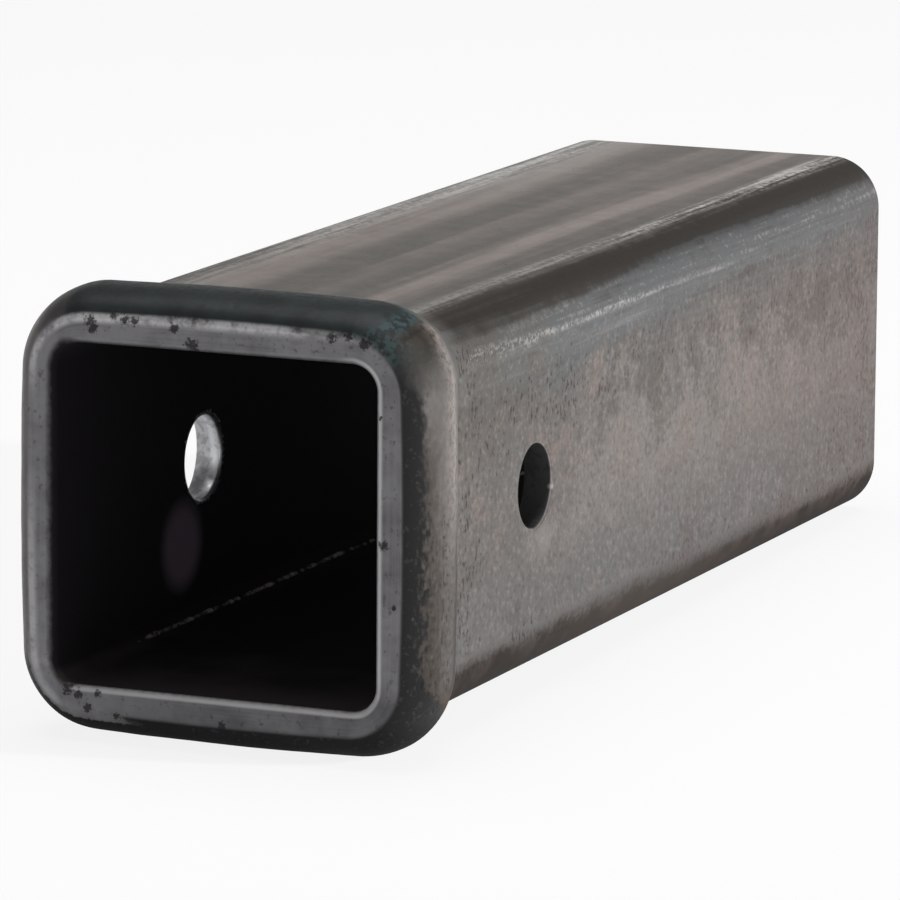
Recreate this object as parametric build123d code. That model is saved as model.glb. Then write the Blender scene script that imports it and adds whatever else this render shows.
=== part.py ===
from build123d import *
import os
from math import sqrt

# Receiver tube: a square steel tube with a collar forged on its mouth and a punched hole for the hitch pin.
# It is one piece. Sizes are in millimetres.
# The origin is where the pin's axis crosses the tube's axis.
# The mouth faces -Y, the tube runs to +Y, and +Z is up.

# Square tube
tube_side = 76.2  # outside width and height
tube_wall = 6.35
tube_length = 254.0  # front face to back end
tube_corner_radius = 10.6  # outside corners
inside_corner_least = 1.0  # the inside corners never get sharper than this
end_break = 0.4  # deburred edges of the sawn back end

# Forged collar
collar_length = 25.0  # front face to where the ramp meets the tube
collar_rise = 4.6  # height of the crown above the tube's sides
crown_setback = 12.0  # crown behind the front face
front_face_inset = 1.0  # the flat front face ends this far inside the tube's sides
nose_fullness = 0.62  # 0.55 is a plain ellipse, and more is squarer
nose_edge_drop = 0.9  # more gives the nose a crisper edge against the flat front face
crown_flat = 2.5  # stretch behind the crown before the ramp falls away
collar_corner_radius = 11.7  # collar's corners, measured where it meets the tube
side_bulge = 0.45  # the forged sides bow outwards this far at their middle
mouth_flare = 0.75  # the forged mouth is this much wider than the bore on each side
mouth_edge_radius = 1.2  # rounded lip inside the mouth

# Hole for the hitch pin, punched through both walls from the right (+X)
pin_diameter = 15.88
pin_clearance = 0.4  # on the diameter
pin_setback = 63.0  # pin's axis behind the front face
punch_land = 2.4  # straight part of each punched wall, from the side that the punch enters
punch_breakout = 1.6  # the torn part opens this far, on the radius, by the side that it leaves
punch_roll_radius = 0.65  # rounded edges where it enters, and outside on the left

# Weld flash left inside the tube, along its lower left corner
flash_width = 2.4
flash_height = 0.6

half_side = tube_side / 2
bore_side = tube_side - 2 * tube_wall
half_bore = bore_side / 2
bore_corner_radius = max(tube_corner_radius - tube_wall, inside_corner_least)
front_y = -pin_setback
back_y = front_y + tube_length
ramp_end_y = front_y + collar_length


def along_tube(sketch, start_y, end_y):
    return extrude(Plane.XZ.offset(-start_y) * sketch, start_y - end_y)


def collar_outline():
    # The tube's outline with bowed sides: the line that the collar's section follows.
    corners = [(1, -1), (1, 1), (-1, 1), (-1, -1)]
    corners = [(half_side * x, half_side * z) for x, z in corners]
    bowed = half_side + side_bulge
    middles = [(bowed, 0), (0, bowed), (-bowed, 0), (0, -bowed)]
    sides = []
    for number in range(4):
        sides.append(ThreePointArc(corners[number], middles[number], corners[(number + 1) % 4]))
    face = make_face(sides)
    return Plane.XZ * fillet(face.vertices(), collar_corner_radius)


def collar_section():
    # X is the height above the tube's side, and Y is the distance behind the front face.
    root = -tube_wall / 2
    face_end = (-front_face_inset, 0)
    crown = (collar_rise, crown_setback)
    shoulder = (collar_rise, crown_setback + crown_flat)
    ramp_end = (0, collar_length)
    half_way = (collar_rise / 2, (shoulder[1] + collar_length) / 2)
    fall = (collar_length - shoulder[1]) / collar_rise
    root_end = (root, collar_length - root * fall)
    nose_reach = nose_fullness * (collar_rise + front_face_inset)
    nose_lift = nose_fullness * crown_setback
    front = Line((root, 0), face_end)
    nose_start = (face_end[0] + nose_reach, nose_edge_drop)
    nose = Bezier(face_end, nose_start, (collar_rise, crown_setback - nose_lift), crown)
    ramp = Bezier(crown, shoulder, half_way, ramp_end)
    buried = Line(ramp_end, root_end)
    back = Line(root_end, (root, 0))
    return make_face([front, nose, ramp, buried, back])


def forged_collar():
    path = (Pos(0, front_y, 0) * collar_outline()).face().outer_wire()
    start = path @ 0
    outward = (path % 0).cross(Vector(0, 1, 0))
    if outward.dot(Vector(start.X, 0, start.Z)) < 0:
        outward = -outward
    plane = Plane(origin=start, x_dir=outward, z_dir=outward.cross(Vector(0, 1, 0)))
    return sweep(plane * collar_section(), path=path)


def flared_mouth():
    # The forging punch leaves the mouth a little wider, closing to the bore at the end of the ramp.
    wide_side = bore_side + 2 * mouth_flare
    wide = RectangleRounded(wide_side, wide_side, bore_corner_radius + mouth_flare)
    plain = RectangleRounded(bore_side, bore_side, bore_corner_radius)
    return loft([Plane.XZ.offset(-front_y) * wide, Plane.XZ.offset(-ramp_end_y) * plain])


def pin_hole():
    # In each wall the hole is straight for the land and then torn wider towards -X.
    radius = (pin_diameter + pin_clearance) / 2
    torn = radius + punch_breakout
    past = half_side + tube_wall
    past_torn = torn + punch_breakout * tube_wall / (tube_wall - punch_land)
    rim = Polyline(
        (-past, 0), (-past, past_torn), (-half_bore - punch_land, radius), (-half_bore, radius),
        (half_bore, torn), (half_side - punch_land, radius), (past, radius), (past, 0), close=True,
    )
    return revolve(make_face(rim), axis=Axis.X)


def weld_flash():
    # A low round ridge on the middle of the inside corner, behind the forged mouth.
    surface = half_bore - bore_corner_radius * (1 - 1 / sqrt(2))
    sunk = (flash_width / 2 - flash_height) / sqrt(2)
    ridge = Pos(-surface - sunk, -surface - sunk) * Circle(flash_width / 2)
    return along_tube(ridge, ramp_end_y, back_y - end_break)


def receiver_tube():
    outside = RectangleRounded(tube_side, tube_side, tube_corner_radius)
    inside = RectangleRounded(bore_side, bore_side, bore_corner_radius)
    body = along_tube(outside, front_y, back_y) + forged_collar()
    body -= along_tube(inside, front_y, back_y)
    body -= flared_mouth()
    front_face = body.faces().sort_by(Axis.Y)[0]
    body = fillet(front_face.inner_wires()[0].edges(), mouth_edge_radius)
    back_face = body.faces().sort_by(Axis.Y)[-1]
    body = chamfer(back_face.edges(), end_break)
    body -= pin_hole()
    rims = body.edges().filter_by(GeomType.CIRCLE)
    rims = rims.filter_by(lambda rim: abs(rim.arc_center.Y) < 0.01 and abs(rim.arc_center.Z) < 0.01)
    rounded = (half_side, -half_bore, -half_side)
    rims = rims.filter_by(lambda rim: min(abs(rim.arc_center.X - x) for x in rounded) < 0.01)
    body = fillet(rims, punch_roll_radius)
    return body + weld_flash()


os.makedirs("parts", exist_ok=True)
export_step(receiver_tube(), "parts/receiver_tube.step")
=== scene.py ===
import bpy
import bmesh
import math
import numpy as np
from mathutils import Matrix, Vector, noise


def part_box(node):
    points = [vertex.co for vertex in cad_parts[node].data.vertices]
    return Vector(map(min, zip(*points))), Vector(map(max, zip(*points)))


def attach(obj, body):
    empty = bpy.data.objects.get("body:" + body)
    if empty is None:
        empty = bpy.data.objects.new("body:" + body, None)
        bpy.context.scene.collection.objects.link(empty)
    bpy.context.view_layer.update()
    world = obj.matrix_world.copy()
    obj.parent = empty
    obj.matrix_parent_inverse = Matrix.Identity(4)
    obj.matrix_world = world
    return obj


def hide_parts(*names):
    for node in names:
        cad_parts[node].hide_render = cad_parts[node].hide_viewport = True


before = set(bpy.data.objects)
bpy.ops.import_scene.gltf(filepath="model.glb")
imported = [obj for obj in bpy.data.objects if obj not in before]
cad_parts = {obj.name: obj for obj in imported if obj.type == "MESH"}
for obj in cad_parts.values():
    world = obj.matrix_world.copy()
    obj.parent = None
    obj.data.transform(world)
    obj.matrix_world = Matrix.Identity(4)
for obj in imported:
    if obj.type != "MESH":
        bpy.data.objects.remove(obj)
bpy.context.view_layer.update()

tubeLow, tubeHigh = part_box("receiver_tube")
mouthY, backY = tubeLow.y, tubeHigh.y
print("stage: frame loaded, mouth at", round(mouthY, 4), "back end at", round(backY, 4))


# Square tube and its forged collar, in metres
tube = {
    "halfSide": 0.0381,
    "wall": 0.00635,
    "corner": 0.0106,       # outside corner radius
    "boreCorner": 0.00425,
    "endBreak": 0.0004,     # deburred back edges
    "perSide": 48,          # columns along each flat side
    "perCorner": 24,        # columns round each corner
}
collar = {
    "length": 0.025,        # front face to the tube
    "rise": 0.0046,         # crown above the tube's side
    "crownSetback": 0.012,
    "faceInset": 0.001,
    "edgeDrop": 0.0009,     # the nose leaves the front face at a crisp edge
    "fullness": 0.62,
    "crownFlat": 0.0025,
    "corner": 0.0117,       # corner radius where it meets the tube
    "bulge": 0.00045,       # forged sides bow outwards
    "flare": 0.00075,       # the mouth is wider than the bore
    "lip": 0.0012,          # rounded edge inside the mouth
    "waves": 0.00009,       # unevenness left by the forging dies
    "waveSizes": (70, 190),  # broad and fine waves, in noise cells per metre
}
flash = {
    "width": 0.0015,        # weld flash along the lower left inside corner
    "height": 0.0005,
    "wander": 0.0004,       # how far it strays from the middle of the corner
    "runIn": 0.012,         # it grows to its height over this length behind the collar
    "endGap": 0.001,        # it stops this far from the back end
    "seed": 7,
}


def bezier(points, count):
    # Points along a Bezier curve, evenly spaced by length
    p = [np.array(q) for q in points]
    t = np.linspace(0, 1, 200)[:, None]
    line = (1 - t) ** 3 * p[0] + 3 * (1 - t) ** 2 * t * p[1] + 3 * (1 - t) * t ** 2 * p[2] + t ** 3 * p[3]
    steps = np.linalg.norm(np.diff(line, axis=0), axis=1)
    along = np.concatenate([[0], np.cumsum(steps)])
    wanted = np.linspace(0, along[-1], count + 1)
    return np.stack([np.interp(wanted, along, line[:, axis]) for axis in (0, 1)], 1)


def outlineRing(half, corner, bulge):
    # One loop round a square with rounded corners and slightly bowed sides, as X and Z
    side = np.linspace(-1, 1, tube["perSide"], endpoint=False)
    flat = np.stack([half + bulge * (1 - side ** 2), side * (half - corner)], 1)
    angle = np.linspace(0, math.pi / 2, tube["perCorner"], endpoint=False)
    middle = half - corner
    arc = np.stack([middle + corner * np.cos(angle), middle + corner * np.sin(angle)], 1)
    quarter = np.concatenate([flat, arc])
    turned = []
    for turn in range(4):
        c, s = round(math.cos(turn * math.pi / 2)), round(math.sin(turn * math.pi / 2))
        turned.append(quarter @ np.array([[c, s], [-s, c]]))
    return np.concatenate(turned)


def wallStations():
    # The wall's section, from the back end along the outside, over the collar and back through the bore.
    # Each station is half size, corner radius, side bulge and Y, with its zone.
    half, corner, wall = tube["halfSide"], tube["corner"], tube["wall"]
    rise, length, inset, lip = collar["rise"], collar["length"], collar["faceInset"], collar["lip"]
    brk = tube["endBreak"]
    out = []
    rampY = mouthY + length
    for y in np.linspace(backY - brk, rampY, 40):
        out.append((half, corner, 0, y, "tube"))
    shoulder = (rise, collar["crownSetback"] + collar["crownFlat"])
    crown = (rise, collar["crownSetback"])
    midway = (rise / 2, (shoulder[1] + length) / 2)
    for height, depth in bezier([(0, length), midway, shoulder, crown], 22)[1:]:
        blend = height / rise
        radius = corner + (collar["corner"] - corner) * blend + height
        out.append((half + height, radius, collar["bulge"] * blend, mouthY + depth, "collar"))
    reach = collar["fullness"] * (rise + inset)
    lift = collar["fullness"] * crown[1]
    nose = [crown, (rise, crown[1] - lift), (-inset + reach, collar["edgeDrop"]), (-inset, 0)]
    for height, depth in bezier(nose, 34)[1:]:
        out.append((half + height, collar["corner"] + height, collar["bulge"], mouthY + depth, "collar"))
    faceHalf, faceCorner = half - inset, collar["corner"] - inset
    mouthHalf, mouthCorner = half - wall + collar["flare"], tube["boreCorner"] + collar["flare"]
    lipHalf, lipCorner = mouthHalf + lip, mouthCorner + lip
    for step in np.linspace(0, 1, 9)[1:]:
        size = faceHalf + (lipHalf - faceHalf) * step
        radius = faceCorner + (lipCorner - faceCorner) * step
        out.append((size, radius, collar["bulge"] * (1 - step), mouthY, "face"))
    for angle in np.linspace(0, math.pi / 2, 9)[1:]:
        inward, depth = lip * math.sin(angle), lip * (1 - math.cos(angle))
        out.append((lipHalf - inward, lipCorner - inward, 0, mouthY + depth, "lip"))
    bore = half - wall
    for step in np.linspace(0, 1, 12)[1:]:
        wide = collar["flare"] * (1 - step)
        y = mouthY + lip + (length - lip) * step
        out.append((bore + wide, tube["boreCorner"] + wide, 0, y, "bore"))
    for y in np.linspace(rampY, backY - brk, 150)[1:]:
        out.append((bore, tube["boreCorner"], 0, y, "bore"))
    for step in np.linspace(0, 1, 5):
        size = brk + (wall - 2 * brk) * step
        out.append((bore + size, tube["boreCorner"] + size, 0, backY, "back"))
    return out


def alongSection(stations):
    # Millimetres along the section from the front face's outer edge: up over the collar, down into the bore
    zones = [s[4] for s in stations]
    place = np.array([(s[0], s[3]) for s in stations]) * 1000
    edge = max(n for n, zone in enumerate(zones) if zone == "collar")
    steps = np.concatenate([[0], np.cumsum(np.linalg.norm(np.diff(place, axis=0), axis=1))])
    along = steps[edge] - steps
    along[[n for n, zone in enumerate(zones) if zone == "back"]] = along[0]
    return along


def forgedWaves(points, stations):
    # The forging dies leave the collar slightly uneven, mostly inwards from its full size
    broadWave, fineWave = collar["waveSizes"]
    for row, station in enumerate(stations):
        if station[4] != "collar":
            continue
        depth = (station[3] - mouthY) / collar["length"]
        fade = min(1, (1 - depth) * 3) * min(1, depth * 25)
        for column, place in enumerate(points[row]):
            push = noise.noise(Vector(place) * broadWave) + 0.5 * noise.noise(Vector(place) * fineWave)
            outward = Vector((place[0], 0, place[2])).normalized()
            points[row, column] += np.array(outward) * (push - 1.0) * collar["waves"] * fade


def raiseFlash(points, stations):
    # A ragged ridge on the middle of the lower left inside corner, returned as its height at each point
    grown = np.zeros(points.shape[:2])
    middle = tube["halfSide"] - tube["wall"] - tube["boreCorner"]
    start = mouthY + collar["length"]
    for row, station in enumerate(stations):
        y = station[3]
        if station[4] != "bore" or y <= start or y > backY - flash["endGap"]:
            continue
        wander = flash["wander"] * noise.noise(Vector((y * 60, flash["seed"], 0)))
        ragged = 0.6 + 0.5 * noise.noise(Vector((y * 210, 3.1, flash["seed"])))
        ragged += 0.7 * noise.noise(Vector((y * 520, 8.3, flash["seed"])))
        tall = flash["height"] * min(1, max(0.25, ragged)) * min(1, (y - start) / flash["runIn"])
        corner = (points[row, :, 0] < -middle) & (points[row, :, 2] < -middle)
        for column in np.nonzero(corner)[0]:
            x, _, z = points[row, column]
            around = math.atan2(-z - middle, -x - middle) - math.pi / 4
            off = (around * tube["boreCorner"] - wander) / (flash["width"] / 2)
            if abs(off) < 1:
                high = tall * (1 - off ** 2) ** 1.5
                points[row, column] += np.array([1, 0, 1]) / math.sqrt(2) * high
                grown[row, column] = high * 1000
    return grown


def buildWall():
    stations = wallStations()
    rings = []
    for half, corner, bulge, y, zone in stations:
        ring = outlineRing(half, corner, bulge)
        rings.append(np.stack([ring[:, 0], np.full(len(ring), y), ring[:, 1]], 1))
    points = np.array(rings)
    forgedWaves(points, stations)
    flashHeight = raiseFlash(points, stations)
    rows, columns = points.shape[:2]
    index = np.arange(rows * columns).reshape(rows, columns)
    below, right = np.roll(index, -1, 0), np.roll(index, -1, 1)
    faces = np.stack([index, below, np.roll(below, -1, 1), right], 2).reshape(-1, 4)
    mesh = bpy.data.meshes.new("receiverTube")
    mesh.from_pydata(points.reshape(-1, 3).tolist(), [], faces.tolist())
    mesh.update()
    along = mesh.attributes.new("along", "FLOAT", "POINT")
    along.data.foreach_set("value", np.repeat(alongSection(stations), columns).astype(np.float32))
    ridge = mesh.attributes.new("flash", "FLOAT", "POINT")
    ridge.data.foreach_set("value", flashHeight.reshape(-1).astype(np.float32))
    piece = bpy.data.objects.new("receiverTube", mesh)
    bpy.context.scene.collection.objects.link(piece)
    print("stage: wall of", rows, "rows and", columns, "columns")
    return piece


# Hole for the hitch pin, punched through both walls from the right
pinHole = {
    "radius": 0.00814,
    "land": 0.0024,         # straight part, from the side that the punch enters
    "breakout": 0.0016,     # torn wider by the side that it leaves
    "roll": 0.00065,        # rounded edges
    "tornRoll": 1.2,        # more rounded where the wall tore
    "tornTuck": 0.0001,     # and drawn in a little
    "past": 0.004,          # the cutter runs on past each wall
    "pastWider": 0.0004,    # and is this much wider inside the bore
    "around": 96,
}


def holeCutter():
    half, bore = tube["halfSide"], tube["halfSide"] - tube["wall"]
    radius, roll, land = pinHole["radius"], pinHole["roll"], pinHole["land"]
    past, tornRoll = pinHole["past"], pinHole["tornRoll"]
    torn = radius + pinHole["breakout"]
    quarter = np.linspace(0, math.pi / 2, 6)
    slope = math.atan2(pinHole["breakout"], tube["wall"] - land)
    profile = [(-half - past, torn + roll * tornRoll)]
    for angle in np.linspace(math.pi / 2, slope, 6):
        wider = roll * (1 - math.cos(angle)) * tornRoll
        profile.append((-half + roll * (1 - math.sin(angle)), torn + wider - pinHole["tornTuck"]))
    profile.append((-bore - land, radius))
    for angle in quarter:
        profile.append((-bore - roll + roll * math.sin(angle), radius + roll * (1 - math.cos(angle))))
    profile.append((-bore + past, radius + roll))
    profile.append((bore - past, torn + pinHole["pastWider"]))
    profile.append((bore, torn))
    profile.append((half - land, radius))
    for angle in quarter:
        profile.append((half - roll + roll * math.sin(angle), radius + roll * (1 - math.cos(angle))))
    profile.append((half + past, radius + roll))
    work = bmesh.new()
    loops = []
    count = pinHole["around"]
    for x, r in profile:
        loop = []
        for step in range(count):
            turn = 2 * math.pi * step / count
            loop.append(work.verts.new((x, r * math.cos(turn), r * math.sin(turn))))
        loops.append(loop)
    for one, two in zip(loops, loops[1:]):
        for step in range(count):
            work.faces.new((one[step], one[(step + 1) % count], two[(step + 1) % count], two[step]))
    work.faces.new(loops[0])
    work.faces.new(list(reversed(loops[-1])))
    bmesh.ops.recalc_face_normals(work, faces=work.faces)
    mesh = bpy.data.meshes.new("pinCutter")
    work.to_mesh(mesh)
    work.free()
    cutter = bpy.data.objects.new("pinCutter", mesh)
    bpy.context.scene.collection.objects.link(cutter)
    return cutter


def applyBoolean(piece, other, operation):
    change = piece.modifiers.new(operation.lower(), "BOOLEAN")
    change.operation = operation
    change.solver = "EXACT"
    change.object = other
    bpy.context.view_layer.update()
    ready = piece.evaluated_get(bpy.context.evaluated_depsgraph_get())
    mesh = bpy.data.meshes.new_from_object(ready)
    piece.modifiers.clear()
    old = piece.data
    piece.data = mesh
    bpy.data.meshes.remove(old)
    bpy.data.objects.remove(other)


receiverTube = buildWall()
applyBoolean(receiverTube, holeCutter(), "DIFFERENCE")
receiverTube.data.shade_smooth()
sharpFrom = 24              # degrees between faces that keep a crisp edge
receiverTube.data.set_sharp_from_angle(angle=math.radians(sharpFrom))
print("stage: pin holes cut,", len(receiverTube.data.polygons), "faces")


# Raw steel: bare tube with thin mill scale, dark forging scale on the collar, a ground front face
# and a black bore. Colours are linear, lengths are in millimetres.
steelLook = {
    "tube": (0.154, 0.141, 0.133),       # bare satin steel
    "warm": (0.226, 0.202, 0.188),       # lighter in the middle of the sides
    "green": (0.112, 0.097, 0.078),      # thin scale, in bands on top and in clouds on the sides
    "pink": (0.268, 0.193, 0.161),
    "blue": (0.134, 0.143, 0.148),       # painted bluish reflection in a band under the top corners
    "low": (0.148, 0.147, 0.150),        # greyer towards the bottom
    "grime": (0.105, 0.086, 0.082),
    "wearAndHighlight": (0.55, 0.53, 0.51),          # bright: flecks of wear and lighter mottling, and painted highlights along the corners, in the band under them and at the pin hole
    "crown": (0.420, 0.350, 0.320),      # painted highlight on the side of the collar's crown
    "ramp": (0.222, 0.207, 0.198),
    "brown": (0.064, 0.052, 0.044),      # dark brown scale; on the rolled corners partly painted shade
    "under": (0.017, 0.014, 0.012),      # painted shade under the low corners
    "speck": (0.045, 0.036, 0.036),
    "rust": (0.120, 0.072, 0.062),
    "forge": (0.0125, 0.0122, 0.0132),   # forging scale
    "forgeTeal": (0.036, 0.056, 0.058),
    "face": (0.176, 0.172, 0.182),       # ground front face
    "faceDull": (0.108, 0.104, 0.110),
    # painted highlights on the face's edges and lips; also lightens the face low on the left
    "facePaleAndHighlight": (0.50, 0.49, 0.50),
    "chip": (0.020, 0.017, 0.017),
    # dark scale inside, painted near black as the shade in the bore
    "bore": (0.0086, 0.0066, 0.0088),
    # painted light on the bore's floor near the mouth
    "boreFloorLight": (0.030, 0.024, 0.024),
    "holeLand": (0.64, 0.65, 0.67),      # sheared wall of the pin hole
    "holeTorn": (0.47, 0.48, 0.50),
    "sawn": (0.300, 0.280, 0.265),       # back end as the saw left it
    "sawnDull": (0.120, 0.105, 0.095),
    # weld flash, painted pale and brighter deeper in, as light from the open back end
    "flash": (0.75, 0.70, 0.65),
}
steelFinish = {
    "bareMetal": 0.88,
    "coveredMetal": 0.05,   # under scale and dirt, and in the black bore
    "specular": 0.2,
    "bareRough": 0.36,
    "scaleRough": 0.46,
    "scaleRoughUnder": 0.42,  # added below the collar
    "cornerRough": 0.08,    # added on the rolled corners
    "lowRough": 0.45,       # added on the low corners
    "dullRough": 0.9,
    "tubeRelief": 0.0018,
    "collarRelief": 0.024,
    "reliefStrength": 0.7,
}
# Dark chips by the edges of the front face: X, Z and radius
faceChips = [
    (-25.3, 37.0, 1.0), (-24.8, 35.6, 0.8), (-20.6, 38.0, 0.7), (-18.2, 37.6, 0.8), (-16.2, 37.3, 0.7),
    (-8.1, 36.7, 0.75), (-4.6, 33.6, 1.1), (23.6, 37.2, 0.8), (27.0, 37.8, 0.8), (30.2, 36.6, 0.9),
    (-30.2, -33.3, 0.9), (-27.9, -34.2, 0.85), (-26.0, -36.6, 0.85), (-23.9, -33.6, 0.6),
    (-20.2, -37.6, 0.6), (1.7, -37.4, 0.7), (34.2, -0.6, 0.8), (36.4, -12.0, 0.45), (33.5, 23.1, 0.4),
]

steel = bpy.data.materials.new("rawSteel")
steel.use_nodes = True
tree = steel.node_tree
shader = tree.nodes["Principled BSDF"]


def wire(socket, value):
    if isinstance(value, bpy.types.NodeSocket):
        tree.links.new(value, socket)
    elif isinstance(value, tuple) and socket.type == "RGBA":
        socket.default_value = (*value, 1)
    else:
        socket.default_value = value


def calc(operation, first, second=None, third=None):
    node = tree.nodes.new("ShaderNodeMath")
    node.operation = operation
    for socket, value in zip(node.inputs, (first, second, third)):
        if value is not None:
            wire(socket, value)
    return node.outputs[0]


def plus(first, *others):
    for other in others:
        first = calc("ADD", first, other)
    return first


def times(first, *others):
    for other in others:
        first = calc("MULTIPLY", first, other)
    return first


def most(first, *others):
    for other in others:
        first = calc("MAXIMUM", first, other)
    return first


def ease(value, low, high):
    # 0 at low and 1 at high, smooth between, and either may be the larger
    node = tree.nodes.new("ShaderNodeMapRange")
    node.interpolation_type = "SMOOTHSTEP"
    wire(node.inputs["Value"], value)
    wire(node.inputs["From Min"], low)
    wire(node.inputs["From Max"], high)
    return node.outputs["Result"]


def hump(value, middle, width):
    # 1 on the middle, falling to 0 at the width on either side
    return ease(calc("ABSOLUTE", calc("SUBTRACT", value, middle)), width, 0.0)


def lerp(share, low, high):
    node = tree.nodes.new("ShaderNodeMix")
    for number, value in ((0, share), (2, low), (3, high)):
        wire(node.inputs[number], value)
    return node.outputs[0]


def tint(share, under, over):
    node = tree.nodes.new("ShaderNodeMix")
    node.data_type = "RGBA"
    for number, value in ((0, share), (6, under), (7, over)):
        wire(node.inputs[number], value)
    return node.outputs[2]


def grain(size, detail, stretch=(1, 1, 1), shift=0.0, where=None):
    # Noise about 0, with features of the given size in millimetres
    place = tree.nodes.new("ShaderNodeMapping")
    wire(place.inputs["Vector"], where or here)
    place.inputs["Location"].default_value = (shift, shift * 0.7, -shift)
    place.inputs["Scale"].default_value = tuple(1 / (size * s) for s in stretch)
    cloud = tree.nodes.new("ShaderNodeTexNoise")
    cloud.normalize = False
    wire(cloud.inputs["Vector"], place.outputs[0])
    cloud.inputs["Scale"].default_value = 1.0
    cloud.inputs["Detail"].default_value = detail
    return cloud.outputs[0]


def stored(name):
    node = tree.nodes.new("ShaderNodeAttribute")
    node.attribute_name = name
    return node.outputs["Fac"]


def vector(operation, first, second):
    node = tree.nodes.new("ShaderNodeVectorMath")
    node.operation = operation
    wire(node.inputs[0], first)
    wire(node.inputs[1], second)
    return node.outputs["Value" if operation == "DISTANCE" else "Vector"]


spot = tree.nodes.new("ShaderNodeTexCoord")
here = vector("MULTIPLY", spot.outputs["Object"], (1000, 1000, 1000))
parted = tree.nodes.new("ShaderNodeSeparateXYZ")
wire(parted.inputs[0], here)
atX, atY, atZ = parted.outputs
back = calc("SUBTRACT", atY, mouthY * 1000)          # behind the front face
outX, outZ = calc("ABSOLUTE", atX), calc("ABSOLUTE", atZ)
along, ridge = stored("along"), stored("flash")
fine = grain(0.6, 2.0)
small = grain(1.3, 2.0, shift=11)
middling = grain(5.0, 2.0, shift=23)
broad = grain(17.0, 2.0, shift=31)
streaks = grain(4.5, 2.0, (1, 26, 1), 47)
freckles = grain(1.0, 1.0, (1, 0.85, 1.6), 113)
mottle = plus(small, times(fine, 0.6))

# One fine grain that runs round the front face and lengthwise on the tube
roundFace = tree.nodes.new("ShaderNodeCombineXYZ")
wire(roundFace.inputs["X"], times(plus(atX, atZ), 1 / 30))
wire(roundFace.inputs["Y"], times(along, 2.0))
lengthwise = vector("MULTIPLY", here, (1.25, 0.035, 1.25))
brushed = grain(1.0, 1.0, shift=7, where=tint(ease(along, 1.0, 4.0), roundFace.outputs[0], lengthwise))

# Zones of the wall, each a mask from 0 to 1
scaleLook = {
    "sideReach": 6.0,       # how far the dark scale runs over the collar from the front edge
    "topReach": 25.0,
    "tealSpot": (34.0, 37.0),
    "tealWidth": 9.0,
}
boreShadeLook = {
    "start": -4.6,          # where the painted black of the bore begins inside the mouth
    "sillStart": -5.0,
    "leftStart": -3.1,
}
onTop = ease(outZ, 35.0, 37.5)
onSide = ease(outX, 35.0, 37.5)
upper = ease(outZ, 37.5, 41.5)                        # top and bottom of the collar
corner = times(ease(outX, 26.0, 30.0), ease(outZ, 26.0, 30.0))
plainer = lerp(most(corner, onTop), 1.0, 0.2)         # less fine mottling there
speckled = times(lerp(ease(atZ, 12.0, -4.0), 0.25, 1.0), plus(times(freckles, 3.0), times(small, 1.6)))
reaching = most(upper, times(ease(atZ, -25.0, -37.0), 0.62))
scaleReach = lerp(reaching, scaleLook["sideReach"], scaleLook["topReach"])
scaleEdge = calc("SUBTRACT", plus(scaleReach, times(middling, 1.2), speckled), along)
onCollar = times(ease(back, 32.0, 29.0), ease(along, 0.0, 0.5))
softer = times(corner, ease(atZ, 0.0, 20.0), 4.0)
forged = times(ease(scaleEdge, calc("SUBTRACT", -0.9, softer), plus(1.9, softer)), onCollar)
stained = times(ease(scaleEdge, -6.5, 1.0), onCollar)
rubbedLeft = times(ease(atX, -30.0, -35.0), ease(along, 10.0, 7.0), ease(atZ, -33.0, -25.0))
lowReach = ease(plus(atX, atZ, times(middling, 4.0)), -56.0, -61.0)
rubbedLow = times(lowReach, ease(plus(along, times(small, 0.5)), 2.5, 1.8))
rubbedLeft = most(rubbedLeft, rubbedLow)
forged = times(forged, calc("SUBTRACT", 1.0, rubbedLeft))
face = times(most(ease(along, 0.8, -0.3), rubbedLeft), ease(back, 12.0, 10.0))
boreShadeStart = lerp(ease(atZ, -28.0, -31.0), boreShadeLook["start"], boreShadeLook["sillStart"])
boreShadeStart = lerp(ease(atX, -27.0, -32.0), boreShadeStart, boreShadeLook["leftStart"])
inside = ease(calc("SUBTRACT", plus(along, times(small, 0.25)), boreShadeStart), 0.9, -0.9)
inside = times(inside, ease(back, 254.0, 253.4))
fromPin = calc("SQRT", plus(times(atY, atY), times(atZ, atZ)))
holeWall = times(ease(fromPin, 10.7, 10.4), ease(outX, 31.76, 31.80), ease(outX, 38.05, 37.7))
rightHole = times(holeWall, ease(atX, 0.0, 1.0))

# Bare tube: lengthwise bands on top, a painted bluish reflection with painted highlight streaks under the
# top corners, lighter and warmer in mid side
lidBands = {                # X of the middle and half width
    "right": (15.0, 7.0),
    "left": (-18.0, 9.0),
    "middle": (1.5, 5.0),
}
acrossTop = plus(atX, times(streaks, 4.0))
bands = most(hump(acrossTop, *lidBands["right"]), times(hump(acrossTop, *lidBands["left"]), 0.9))
middleBand = times(hump(acrossTop, *lidBands["middle"]), 0.3)
bands = plus(bands, middleBand, times(streaks, 0.22), times(middling, 0.2))
bands = plus(bands, times(brushed, 0.08), times(mottle, 0.24), times(ease(back, 60.0, 220.0), 0.25))
lid = tint(times(bands, 0.9), steelLook["green"], steelLook["pink"])
farLeft = times(ease(atX, -8.0, -26.0), ease(back, 90.0, 220.0))
lid = tint(times(farLeft, 0.32), lid, steelLook["wearAndHighlight"])
clouds = plus(times(broad, 0.9), times(middling, 0.6), times(small, 0.35))
midSide = hump(plus(atZ, times(clouds, 12.0)), -1.0, 26.0)
midSide = times(ease(plus(back, times(broad, 40.0)), 60.0, 105.0), midSide)
flank = tint(midSide, steelLook["tube"], steelLook["warm"])
greener = lerp(ease(atZ, 0.0, 12.0), 0.16, 0.6)
flank = tint(times(ease(clouds, 0.0, 0.9), greener), flank, steelLook["green"])
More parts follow.
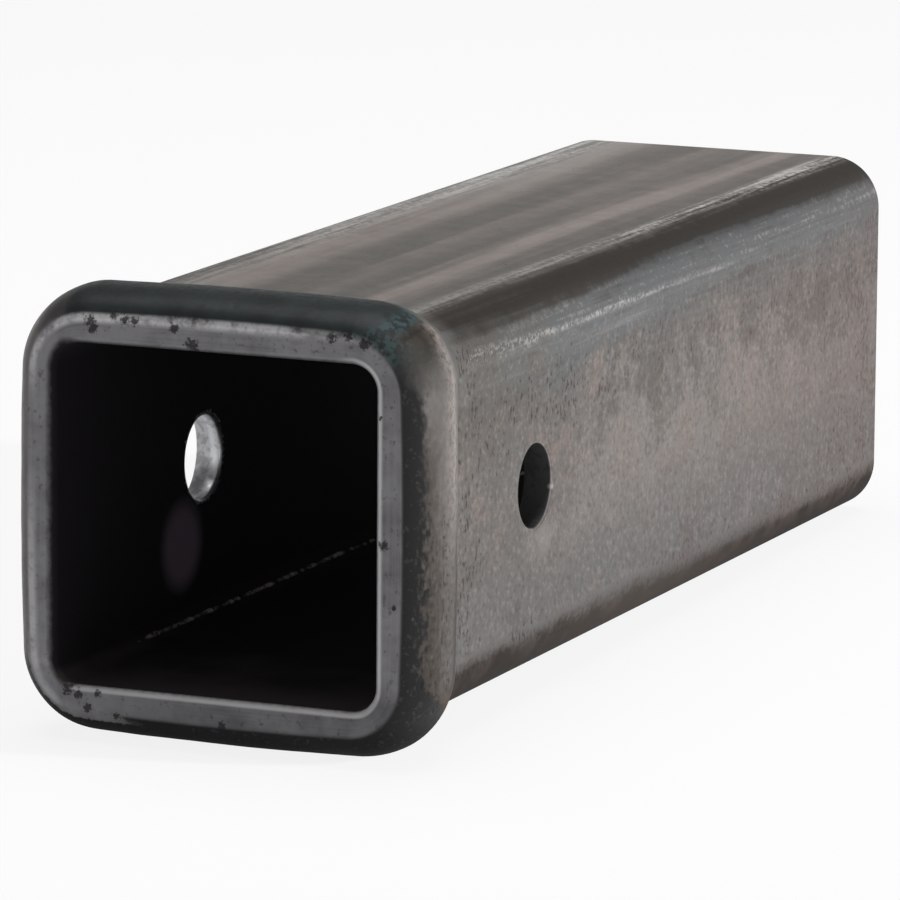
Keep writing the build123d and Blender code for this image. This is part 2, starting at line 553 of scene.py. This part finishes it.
flank = tint(times(ease(clouds, 0.1, -0.9), 0.5), flank, steelLook["pink"])
flank = tint(times(ease(plus(atZ, times(clouds, 9.0)), -8.0, -20.0), 0.5), flank, steelLook["low"])
# painted reflection: a bluish band under the top corners
blueBand = times(ease(plus(atZ, times(clouds, 6.0)), 15.0, 26.0), ease(atZ, 37.3, 34.0))
flank = tint(times(blueBand, 0.85), flank, steelLook["blue"])
# painted highlight streaks in that band
bandHighlight = ease(plus(times(brushed, 0.5), times(streaks, 0.6), times(mottle, 0.55)), 0.05, 0.9)
lighter = lerp(ease(back, 90.0, 210.0), 0.42, 0.56)
flank = tint(times(blueBand, bandHighlight, lighter), flank, steelLook["wearAndHighlight"])
drawnDark = ease(plus(times(brushed, 0.6), times(streaks, 0.6), times(middling, 0.5)), -0.05, -0.8)
flank = tint(times(blueBand, drawnDark, 0.6), flank, steelLook["brown"])
lowPatches = ease(plus(clouds, times(streaks, 0.7)), 0.1, 0.7)
flank = tint(times(lowPatches, ease(atZ, -10.0, -22.0), 0.42), flank, steelLook["grime"])
backRust = times(ease(plus(back, times(broad, 60.0)), 130.0, 235.0), ease(atZ, 31.0, 16.0))
flank = tint(times(backRust, 0.40), flank, steelLook["rust"])
farGreen = times(hump(plus(atZ, times(clouds, 6.0)), 19.0, 11.0), ease(back, 100.0, 160.0))
flank = tint(times(farGreen, 0.24), flank, steelLook["green"])
nearDim = times(ease(plus(back, times(clouds, 12.0)), 85.0, 40.0), ease(atZ, 4.0, 18.0))
flank = tint(times(nearDim, 0.58), flank, steelLook["green"])
skin = tint(onTop, flank, lid)
skin = tint(times(ease(mottle, 0.1, 0.9), plainer, 0.42), skin, steelLook["brown"])
skin = tint(times(ease(mottle, -0.1, -0.9), plainer, 0.16), skin, steelLook["wearAndHighlight"])

# Dark brown rolled corners, ragged at both edges: partly mill scale, partly painted shade
turned = calc("ARCTAN2", calc("SUBTRACT", outZ, 27.5), calc("SUBTRACT", outX, 27.5))
turned = plus(turned, times(streaks, 0.42), times(middling, 0.09), times(brushed, 0.10))
darkCorner = times(ease(turned, 0.58, 0.92), ease(turned, 1.48, 1.30))
lowEdge = plus(atZ, times(streaks, 1.2), times(clouds, 1.0), times(mottle, 0.7))
lowCorner = times(ease(lowEdge, -27.0, -31.5), ease(atZ, 0.0, -20.0))
dimmed = most(times(darkCorner, corner), lowCorner)
# dark scale and painted shade on the rolled corners
skin = tint(times(dimmed, 0.92), skin, steelLook["brown"])
# painted shade on the low corners, deepest near the collar and the back end
lowCornerShade = lerp(hump(back, 130.0, 90.0), 0.8, 0.45)
skin = tint(times(lowCorner, lowCornerShade), skin, steelLook["under"])

# Painted highlights, flecked, where the corners meet the flats
highlightLines = {             # place of the middle and half width
    "top": (28.2, 3.6),
    "topLeft": (-25.5, 6.5),
    "side": 29.0,
    "sideWidths": (0.9, 2.6),  # far from the collar and near it
}
flecked = ease(plus(fine, times(small, 0.6), times(streaks, 0.6)), -0.35, 0.45)
drawn = ease(plus(times(brushed, 0.7), times(streaks, 0.4), times(small, 0.5), times(fine, 0.4)), -0.6, 0.7)
topLine = hump(plus(outX, times(streaks, 1.4)), *highlightLines["top"])
topLine = most(topLine, times(hump(atX, *highlightLines["topLeft"]), 0.9))
topLine = times(topLine, ease(atZ, 36.2, 37.2), drawn, lerp(ease(back, 20.0, 200.0), 0.4, 1.15))
lineWidth = lerp(ease(back, 85.0, 45.0), *highlightLines["sideWidths"])
sideLine = hump(plus(atZ, times(streaks, 1.4), times(middling, 0.5)), highlightLines["side"], lineWidth)
sideLine = times(sideLine, ease(outX, 36.0, 37.0), ease(back, 190.0, 100.0), ease(back, 27.0, 31.0), 0.42)
lines = most(topLine, times(sideLine, flecked))
# painted highlight lines along the corner edges
skin = tint(lines, skin, steelLook["wearAndHighlight"])

# The collar's ramp: lighter high up, darker low down; a painted highlight on the side of the crown
onRamp = ease(back, 25.4, 24.6)
rampUpper = times(onRamp, ease(atZ, 36.0, 26.0), ease(atZ, -38.0, -20.0))
skin = tint(times(rampUpper, plus(0.72, times(clouds, -0.3))), skin, steelLook["ramp"])
rampLower = times(onRamp, ease(atZ, 14.0, -20.0))
skin = tint(times(rampLower, plus(0.58, times(mottle, 0.25))), skin, steelLook["brown"])
# painted highlight on the side of the crown
crown = times(hump(back, 13.5, 6.0), onSide, ease(atZ, -14.0, 22.0), ease(mottle, 0.9, -0.5))
skin = tint(times(crown, 0.85), skin, steelLook["crown"])
crownLow = times(hump(back, 15.5, 4.5), onSide, ease(atZ, 12.0, -8.0))
skin = tint(times(crownLow, 0.5), skin, steelLook["brown"])

# Dark specks: clustered near the collar, along the upper side and by the back end, rustier further back
farther = ease(back, 70.0, 130.0)
upSide = hump(plus(atZ, times(middling, 5.0)), lerp(farther, 15.5, 20.0), 12.0)
upSide = times(upSide, ease(back, 20.0, 27.0), onSide, lerp(farther, 1.0, 0.85))
nearCollar = times(ease(back, 54.0, 27.0), ease(back, 14.0, 27.0), onSide)
farEnd = times(ease(back, 195.0, 246.0), onSide)
lowSide = times(hump(plus(atZ, times(middling, 4.0)), -28.0, 8.0), ease(outX, 30.0, 36.0), 0.9)
byScale = times(hump(scaleEdge, -3.0, 5.0), onCollar, ease(atZ, 14.0, -2.0))
clustered = ease(plus(clouds, times(middling, 0.3)), -0.35, 0.35)
dirtier = most(times(most(upSide, nearCollar, farEnd, lowSide), clustered), byScale)
specks = ease(plus(freckles, times(small, 0.3), times(dirtier, 0.66)), 0.80, 1.08)
skin = tint(times(dirtier, 0.24), skin, steelLook["grime"])
rusty = times(upSide, farther, ease(plus(middling, times(mottle, 0.7)), 0.0, 0.8))
skin = tint(times(rusty, 0.4), skin, steelLook["rust"])
speckColour = tint(most(times(farEnd, 0.7), times(farther, 0.45)), steelLook["speck"], steelLook["rust"])
skin = tint(times(specks, lerp(farther, 0.76, 0.55)), skin, speckColour)

# Dark forging scale on the nose and the top of the collar
tealX, tealZ = scaleLook["tealSpot"]
fromTeal = calc("ABSOLUTE", calc("SUBTRACT", atX, tealX))
fromTeal = plus(fromTeal, calc("ABSOLUTE", calc("SUBTRACT", atZ, tealZ)))
teal = times(hump(fromTeal, 0.0, scaleLook["tealWidth"]), ease(mottle, -0.4, 0.4), 1.2)
teal = plus(teal, times(ease(atZ, 28.0, 38.0), plus(0.22, times(middling, 0.2))))
scale = tint(teal, steelLook["forge"], steelLook["forgeTeal"])
scale = tint(times(ease(mottle, 0.2, 0.9), ease(atZ, 36.0, 28.0), 0.14), scale, steelLook["tube"])
skin = tint(times(stained, lerp(ease(atZ, 12.0, 26.0), 0.75, 0.18)), skin, steelLook["brown"])
paint = tint(forged, skin, scale)

# Ground front face with painted highlights on its outer edges and inner lips, and dark chips
lowLeft = times(ease(atX, -8.0, -28.0), ease(atZ, -24.0, -32.0))
dulled = plus(0.27, times(brushed, 0.28), times(middling, 0.7), times(broad, 0.3), times(lowLeft, -0.6))
ground = tint(dulled, steelLook["face"], steelLook["faceDull"])
ground = tint(times(ease(mottle, 0.35, 0.95), 0.55), ground, steelLook["brown"])
ground = tint(times(lowLeft, plus(0.16, times(middling, 0.2))), ground, steelLook["facePaleAndHighlight"])
ground = tint(times(ease(along, 0.3, 2.5), lerp(rubbedLow, 0.6, 0.2)), ground, steelLook["brown"])
paint = tint(face, paint, ground)
onFront = ease(back, 3.0, 2.0)
# painted highlights on the ground outer edge and the inner lips, in patches
outerEdge = times(ease(along, -1.2, 0.2), ease(along, 1.7, 0.7), onFront)
highlightBreakup = ease(plus(times(mottle, 0.5), middling), -1.2, 0.5)
topEdge = times(outerEdge, ease(atZ, 18.0, 35.0), ease(atX, 38.0, 8.0), highlightBreakup)
leftEdge = times(outerEdge, ease(atX, -29.0, -33.0), ease(atZ, 20.0, -15.0), highlightBreakup, 0.6)
rightLip = most(ease(atX, 24.0, 32.0), ease(atZ, -28.0, -32.0))
onSill = times(ease(atZ, -28.0, -31.0), ease(atX, 31.0, 28.0))
lipStart = calc("SUBTRACT", along, lerp(onSill, -3.0, -3.3))
innerEdge = times(ease(lipStart, 0.0, -0.6), ease(along, -5.7, -5.0), rightLip, lerp(onSill, 0.75, 1.0))
paint = tint(times(most(topEdge, leftEdge, innerEdge), 0.9), paint, steelLook["facePaleAndHighlight"])
flatPlace = tree.nodes.new("ShaderNodeCombineXYZ")
wire(flatPlace.inputs["X"], atX)
wire(flatPlace.inputs["Z"], atZ)
chipped = None
for chipX, chipZ, size in faceChips:
    away = calc("DIVIDE", vector("DISTANCE", flatPlace.outputs[0], (chipX, 0, chipZ)), size)
    chipped = away if chipped is None else calc("MINIMUM", chipped, away)
ragged = plus(times(small, 0.45), times(fine, 0.85))
chipped = times(ease(plus(chipped, ragged), 1.45, 0.65), onFront)
paint = tint(times(chipped, 0.85), paint, steelLook["chip"])

# Black bore: dark scale painted near black as the bore's shade; the weld flash in it and the sheared pin
# hole
# the weld flash, brighter the deeper it runs: painted light from the open back end
litFlash = ease(plus(mottle, times(freckles, 0.6)), -0.95, 0.45)
litFlash = times(litFlash, ease(ridge, 0.10, 0.38), ease(back, -30.0, 95.0))
# painted light on the bore's floor near the mouth
boreFloorGlow = times(ease(atZ, -29.0, -31.0), ease(plus(back, times(broad, 30.0)), 45.0, 5.0))
boreScaleAndShade = tint(boreFloorGlow, steelLook["bore"], steelLook["boreFloorLight"])
paint = tint(inside, paint, tint(litFlash, boreScaleAndShade, steelLook["flash"]))
tornPart = ease(calc("ABSOLUTE", plus(atX, 36.2)), 2.4, 1.6)
sheared = tint(tornPart, steelLook["holeLand"], steelLook["holeTorn"])
sheared = tint(times(ease(plus(middling, small), -0.2, 0.7), 0.5), sheared, steelLook["tube"])
sheared = tint(times(rightHole, 0.95), sheared, steelLook["chip"])
paint = tint(holeWall, paint, sheared)

# Back end as the saw left it, then a scuff and a painted glint by the right hole
sawMarks = calc("SINE", plus(times(atZ, 8.0), times(atX, 0.7), times(middling, 3.0), times(small, 1.5)))
sawn = tint(plus(0.45, times(sawMarks, 0.28), times(mottle, 0.4)), steelLook["sawn"], steelLook["sawnDull"])
onBack = ease(back, 253.70, 253.85)
paint = tint(onBack, paint, sawn)
holeMarks = {               # place and reach
    "scuff": ((38.1, 4.5, -11.0), 5.0),
    # a painted glint on the rim of the right hole
    "paintedGlint": ((37.7, 8.5, -1.6), 0.9),
}
scuff, paintedGlint = (hump(vector("DISTANCE", here, spotted), 0.0, reach) for spotted, reach in holeMarks.values())
paint = tint(most(times(scuff, ease(mottle, -0.6, 0.6), 0.35), paintedGlint), paint, steelLook["wearAndHighlight"])
wire(shader.inputs["Base Color"], paint)

# Metal where it is bare, duller where scale covers it
covered = most(forged, inside, chipped, rightHole, times(specks, 0.8))
covered = most(covered, times(lines, 0.75), times(lowCorner, 0.85))
covered = times(covered, calc("SUBTRACT", 1.0, most(paintedGlint, times(inside, litFlash))))
wire(shader.inputs["Metallic"], lerp(covered, steelFinish["bareMetal"], steelFinish["coveredMetal"]))
shader.inputs["Specular IOR Level"].default_value = steelFinish["specular"]
lidRough = times(onTop, plus(0.05, times(bands, -0.07)))
bareRough = plus(steelFinish["bareRough"], times(small, 0.04), lidRough)
bareRough = plus(bareRough, times(dimmed, steelFinish["cornerRough"]))
bareRough = plus(bareRough, times(lowCorner, steelFinish["lowRough"]), times(crownLow, 0.3))
scaleRough = plus(steelFinish["scaleRough"], times(small, 0.08))
scaleRough = plus(scaleRough, times(ease(atZ, -32.0, -39.0), steelFinish["scaleRoughUnder"]))
roughParts = most(inside, chipped, rightHole, times(specks, 0.7))
wire(shader.inputs["Roughness"], lerp(roughParts, lerp(forged, bareRough, scaleRough), steelFinish["dullRough"]))

# Pitting and forged texture as relief
relief = lerp(ease(along, 22.0, 8.0), steelFinish["tubeRelief"], steelFinish["collarRelief"])
bump = tree.nodes.new("ShaderNodeBump")
bump.inputs["Distance"].default_value = 0.001
bump.inputs["Strength"].default_value = steelFinish["reliefStrength"]
wire(bump.inputs["Height"], times(small, relief))
wire(shader.inputs["Normal"], bump.outputs[0])

receiverTube.data.materials.clear()
receiverTube.data.materials.append(steel)
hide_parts("receiver_tube")
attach(receiverTube, "root")
print("stage: steel painted with", len(tree.nodes), "nodes")


# Floor under the tube as it lies: on the collar's crown and the back end's lower edge
floorLook = {
    "size": 8.0,
    "colour": (0.9, 0.9, 0.9, 1),
    "white": {"Camera": 0.85, "Glossy": 0.35, "Transmission": 0.35},  # share of plain white each ray sees
}


def layFloor():
    crownY = mouthY + collar["crownSetback"]
    crownZ = -(tube["halfSide"] + collar["rise"] + collar["bulge"])
    backZ = -tube["halfSide"]
    tilt = math.atan2(backZ - crownZ, backY - crownY)
    mesh = bpy.data.meshes.new("floor")
    reach = floorLook["size"] / 2
    corners = [(-reach, -reach, 0), (reach, -reach, 0), (reach, reach, 0), (-reach, reach, 0)]
    mesh.from_pydata(corners, [], [(0, 1, 2, 3)])
    floor = bpy.data.objects.new("floor", mesh)
    bpy.context.scene.collection.objects.link(floor)
    floor.matrix_world = Matrix.Translation((0, crownY, crownZ)) @ Matrix.Rotation(tilt, 4, "X")
    pale = bpy.data.materials.new("paleFloor")
    pale.use_nodes = True
    nodes, links = pale.node_tree.nodes, pale.node_tree.links
    nodes.clear()
    out = nodes.new("ShaderNodeOutputMaterial")
    matt = nodes.new("ShaderNodeBsdfDiffuse")
    matt.inputs["Color"].default_value = floorLook["colour"]
    white = nodes.new("ShaderNodeEmission")
    path = nodes.new("ShaderNodeLightPath")
    share = None
    for ray, whiteness in floorLook["white"].items():
        added = nodes.new("ShaderNodeMath")
        added.operation = "MULTIPLY_ADD"
        links.new(path.outputs[f"Is {ray} Ray"], added.inputs[0])
        added.inputs[1].default_value = whiteness
        added.inputs[2].default_value = 0.0
        if share is not None:
            links.new(share, added.inputs[2])
        share = added.outputs[0]
    mix = nodes.new("ShaderNodeMixShader")
    links.new(share, mix.inputs[0])
    links.new(matt.outputs[0], mix.inputs[1])
    links.new(white.outputs[0], mix.inputs[2])
    links.new(mix.outputs[0], out.inputs["Surface"])
    mesh.materials.append(pale)
    print("stage: floor laid, tilted", round(math.degrees(tilt), 2), "degrees")


layFloor()


# Studio light
studio = {
    "key": {"from": (0.874, 0.126, 0.198), "away": 2.5, "size": 0.16, "power": 82.0, "shape": "DISK"},
    "top": {"from": (-0.1, 0.1, 1.0), "away": 1.4, "size": 1.1, "power": 11.0, "shape": "SQUARE"},
    "front": {"from": (-0.55, -1.0, 0.45), "away": 1.8, "size": 1.0, "power": 1.5, "shape": "SQUARE"},
}


def hangLights():
    for name, lamp in studio.items():
        light = bpy.data.lights.new(name, "AREA")
        light.shape = lamp["shape"]
        light.size = lamp["size"]
        light.energy = lamp["power"]
        holder = bpy.data.objects.new(name, light)
        bpy.context.scene.collection.objects.link(holder)
        place = Vector(lamp["from"]).normalized() * lamp["away"]
        holder.location = place
        holder.visible_glossy = name != "key"    # the key makes the patch in the bore, not a hard glint
        holder.rotation_euler = (-place).to_track_quat("-Z", "Y").to_euler()
    print("stage: lights hung")


hangLights()


# A white backdrop up to a low height, dim above it
backdrop = {
    "white": 0.85,
    "dim": 0.12,
    "topsOut": 14.0,        # degrees above the horizon where the white ends
    "endsAt": 20.0,
}


def paintWorld():
    world = bpy.data.worlds.new("studioWorld")
    bpy.context.scene.world = world
    world.use_nodes = True
    nodes, links = world.node_tree.nodes, world.node_tree.links
    sky = nodes["Background"]
    sky.inputs["Color"].default_value = (1, 1, 1, 1)
    facing = nodes.new("ShaderNodeTexCoord")
    split = nodes.new("ShaderNodeSeparateXYZ")
    links.new(facing.outputs["Generated"], split.inputs[0])
    height = nodes.new("ShaderNodeMapRange")
    height.interpolation_type = "SMOOTHSTEP"
    height.inputs["From Min"].default_value = math.sin(math.radians(backdrop["topsOut"]))
    height.inputs["From Max"].default_value = math.sin(math.radians(backdrop["endsAt"]))
    height.inputs["To Min"].default_value = backdrop["white"]
    height.inputs["To Max"].default_value = backdrop["dim"]
    links.new(split.outputs["Z"], height.inputs["Value"])
    path = nodes.new("ShaderNodeLightPath")
    level = nodes.new("ShaderNodeMix")
    links.new(path.outputs["Is Camera Ray"], level.inputs[0])
    links.new(height.outputs["Result"], level.inputs[2])
    level.inputs[3].default_value = 1.0
    links.new(level.outputs[0], sky.inputs["Strength"])
    print("stage: world painted")


paintWorld()


# The photograph's view: a long lens, low on the right of the mouth
view = {
    "azimuth": 23.2116,     # degrees from straight along the tube, towards +X
    "elevation": 10.5715,
    "roll": 0.3909,
    "distance": 1.30919,    # from the centre of the mouth, in metres along the view
    "across": -0.043609,    # where the mouth's centre sits in the view, right and up
    "up": -0.0142875,
    "focal": 7089.7,        # in pixels of the image's width
    "imageWidth": 900,
}


def placeCamera():
    a, e, r = (math.radians(view[k]) for k in ("azimuth", "elevation", "roll"))
    backward = Vector((math.sin(a) * math.cos(e), -math.cos(a) * math.cos(e), math.sin(e)))
    right = (-backward).cross(Vector((0, 0, 1))).normalized()
    up = right.cross(-backward)
    across = right * math.cos(r) + up * math.sin(r)
    upward = up * math.cos(r) - right * math.sin(r)
    place = Vector((0, mouthY, 0)) - across * view["across"] - upward * view["up"]
    place += backward * view["distance"]
    data = bpy.data.cameras.new("photoView")
    data.sensor_width = 36.0
    data.lens = view["focal"] / view["imageWidth"] * data.sensor_width
    data.clip_end = 50.0
    camera = bpy.data.objects.new("photoView", data)
    bpy.context.scene.collection.objects.link(camera)
    turn = Matrix((across, upward, backward)).transposed().to_4x4()
    camera.matrix_world = Matrix.Translation(place) @ turn
    bpy.context.scene.camera = camera
    print("stage: camera placed, lens", round(data.lens, 1))


placeCamera()
bpy.context.scene.view_settings.view_transform = "Standard"
